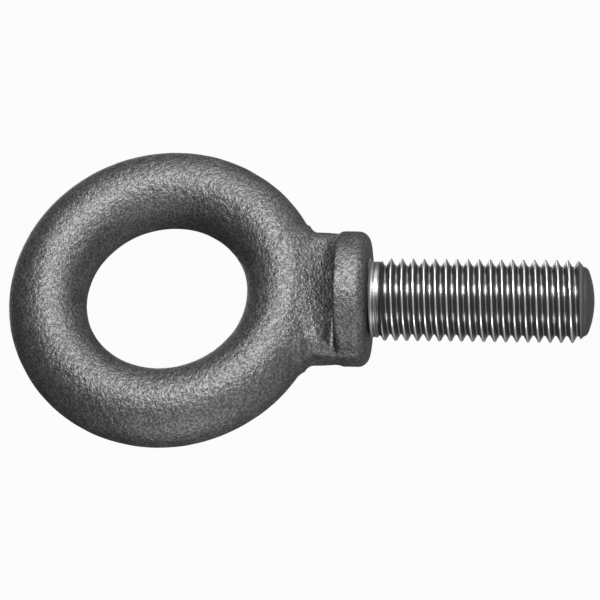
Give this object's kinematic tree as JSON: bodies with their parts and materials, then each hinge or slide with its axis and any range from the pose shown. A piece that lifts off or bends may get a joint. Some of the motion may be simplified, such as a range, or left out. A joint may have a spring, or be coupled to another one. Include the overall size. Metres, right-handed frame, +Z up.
{
  "type": "shoulder eye bolt",
  "caption": "Forged lifting eye bolt: a round eye on a waisted neck and round shoulder, with a threaded shank below.",
  "frame": {"origin": "centre of the shoulder's seat, on the axis of the thread", "axes": "+Z up the bolt's axis from the seat to the eye, Y through the eye's hole, X across the eye"},
  "size_m": [0.0746, 0.0316, 0.1367],
  "materials": {
    "forged_steel": "as-forged dark grey steel, fine grainy surface with a dull satin sheen",
    "machined_steel": "bright cut thread, lightly oiled"
  },
  "bodies": {
    "root": {"eye_ring": "forged_steel", "shoulder": "forged_steel", "threaded_shank": "machined_steel"}
  },
  "joints": []
}
